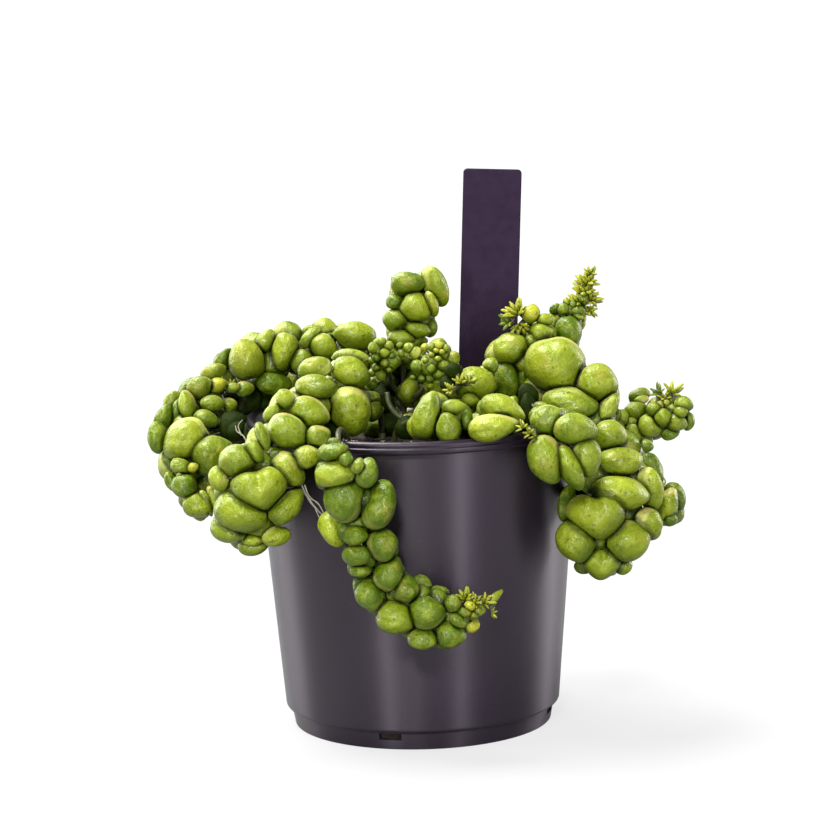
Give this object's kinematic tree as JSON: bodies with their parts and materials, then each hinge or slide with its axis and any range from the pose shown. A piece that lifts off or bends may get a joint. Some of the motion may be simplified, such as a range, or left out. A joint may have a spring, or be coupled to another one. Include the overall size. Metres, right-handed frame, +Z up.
{
  "type": "potted trailing succulent with ropes of domed leaves",
  "caption": "Trailing succulent in a tapered round nursery pot, with ropes of plump domed leaves that arch and hang over the rim and a blank upright label.",
  "frame": {"origin": "centre of the pot's flat underside, on the surface that it stands on", "axes": "+Z up out of the pot, -Y towards the front as pictured, +X to the right as seen from the front"},
  "size_m": [0.1933, 0.1546, 0.1943],
  "materials": {
    "pot_plastic": "satin",
    "potting_mix": "matte",
    "label_plastic": "satin",
    "leaf_green": "satin"
  },
  "bodies": {
    "root": {"pot": "pot_plastic", "soil": "potting_mix", "label": "label_plastic", "strand_arch_left": "leaf_green", "strand_rope_left": "leaf_green", "strand_hook_front": "leaf_green", "strand_upright": "leaf_green", "strand_low_centre": "leaf_green", "strand_tuft_centre": "leaf_green", "strand_rope_right": "leaf_green", "strand_rope_inner_right": "leaf_green", "strand_back_left": "leaf_green", "strand_back_right": "leaf_green"}
  },
  "joints": []
}
